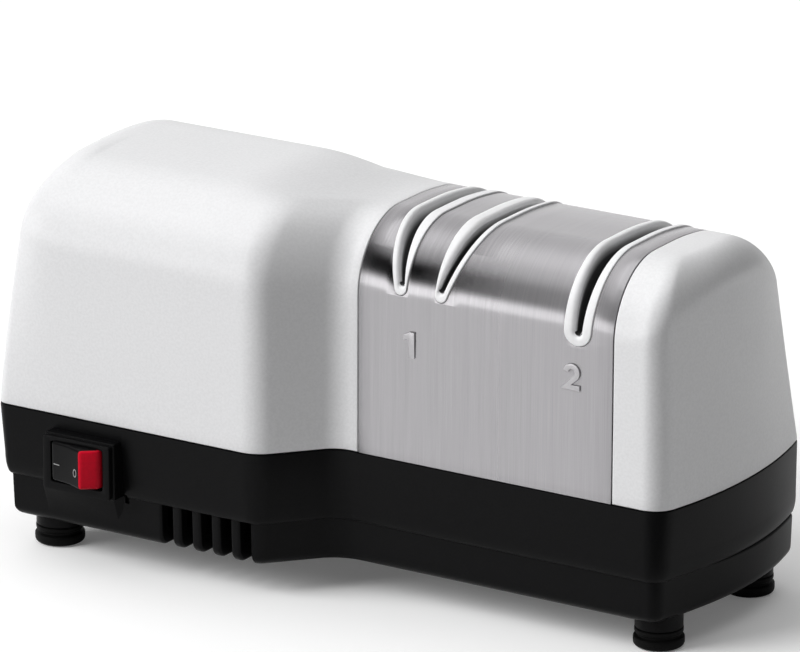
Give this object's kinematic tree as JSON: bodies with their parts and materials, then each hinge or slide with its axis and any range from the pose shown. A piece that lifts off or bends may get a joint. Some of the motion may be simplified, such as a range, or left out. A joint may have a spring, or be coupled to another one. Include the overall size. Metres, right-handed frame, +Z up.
{
  "type": "electric knife sharpener",
  "caption": "Electric knife sharpener with a silver housing, brushed steel deck with angled blade slots over driven conical disks, a manual finishing slot and a black base with a rocker switch.",
  "frame": {"origin": "centre of the bounding box's footprint, on the plane that the feet stand on", "axes": "+X from the motor end to the finishing slot, +Y from the front with the switch to the rear, +Z up"},
  "size_m": [0.1984, 0.099, 0.1066],
  "materials": {
    "silver_paint": "satin pearl-silver lacquer over moulded plastic",
    "rim_plastic": "pale moulded plastic",
    "brushed_steel": "brushed vertically over the front and the top",
    "black_plastic": "fine satin",
    "black_rubber": "matt",
    "red_plastic": "translucent red with a black face",
    "zinc": "as cast",
    "lamination": "stacked sheet edges",
    "copper": "enamelled wire",
    "bronze": "sintered",
    "steel": "bright",
    "abrasive": "grit-coated steel",
    "nylon": "natural",
    "ferrite": "sintered"
  },
  "bodies": {
    "housing": {"base_tray": "black_plastic", "motor_housing": "silver_paint", "slot_deck": "rim_plastic", "end_cover": "silver_paint", "cover_plate": "brushed_steel", "chamber_baffle": "black_plastic", "cord_gland": "black_rubber", "foot_front_left": "black_rubber", "foot_front_right": "black_rubber", "foot_rear_left": "black_rubber", "foot_rear_right": "black_rubber", "case_screw_front_left": "steel", "case_screw_front_right": "steel", "case_screw_rear_left": "steel", "case_screw_rear_right": "steel", "deck_screw_front": "steel", "deck_screw_rear": "steel", "dust_magnet": "ferrite", "switch_housing": "black_plastic", "switch_terminal_1": "steel", "switch_terminal_2": "steel", "stator_stack": "lamination", "coil_bobbin": "nylon", "field_coil": "copper", "bearing_bracket_left": "zinc", "bearing_bracket_right": "zinc", "bearing_bush_left": "bronze", "bearing_bush_right": "bronze", "stator_bolt_front": "steel", "stator_bolt_rear": "steel", "outboard_stand": "zinc", "outboard_bush": "bronze", "wheel_carrier": "nylon", "wheel_axle_left": "steel", "wheel_axle_right": "steel"},
    "rocker": {"rocker": "red_plastic"},
    "rotor": {"motor_shaft": "steel", "rotor_core": "lamination", "cooling_fan": "nylon", "retaining_ring": "steel", "drive_pin_left": "steel", "drive_pin_right": "steel", "disk_spring": "steel"},
    "disk_left": {"abrasive_disk_left": "abrasive"},
    "disk_right": {"abrasive_disk_right": "abrasive"},
    "wheels_left": {"finishing_wheels_left": "abrasive"},
    "wheels_right": {"finishing_wheels_right": "abrasive"},
    "clean_out_door": {"clean_out_door": "black_plastic"}
  },
  "joints": [
    {"name": "rocker_tilt", "type": "hinge", "parent": "housing", "child": "rocker", "pos_m": [-0.0695, -0.04372, 0.0275], "axis": [0, 0, 1], "range_deg": [0, 30]},
    {"name": "rotor_spin", "type": "hinge", "parent": "housing", "child": "rotor", "pos_m": [0, 0.01107, 0.05512], "axis": [1, 0, 0], "continuous": true},
    {"name": "disk_left_slide", "type": "slide", "parent": "rotor", "child": "disk_left", "axis": [1, 0, 0], "range_m": [0, 0.0015], "stiffness_N_per_m": 2000, "springref_m": -0.001, "deforming": ["disk_spring"]},
    {"name": "disk_right_slide", "type": "slide", "parent": "rotor", "child": "disk_right", "axis": [-1, 0, 0], "range_m": [0, 0.0015], "stiffness_N_per_m": 2000, "springref_m": -0.001, "deforming": ["disk_spring"]},
    {"name": "wheels_left_spin", "type": "hinge", "parent": "housing", "child": "wheels_left", "pos_m": [0.0645, 0.01107, 0.07], "axis": [0, 1, 0], "continuous": true},
    {"name": "wheels_right_spin", "type": "hinge", "parent": "housing", "child": "wheels_right", "pos_m": [0.0749, 0.01107, 0.07], "axis": [0, 1, 0], "continuous": true},
    {"name": "clean_out_door_slide", "type": "slide", "parent": "housing", "child": "clean_out_door", "axis": [1, 0, 0], "range_m": [0, 0.018]}
  ]
}
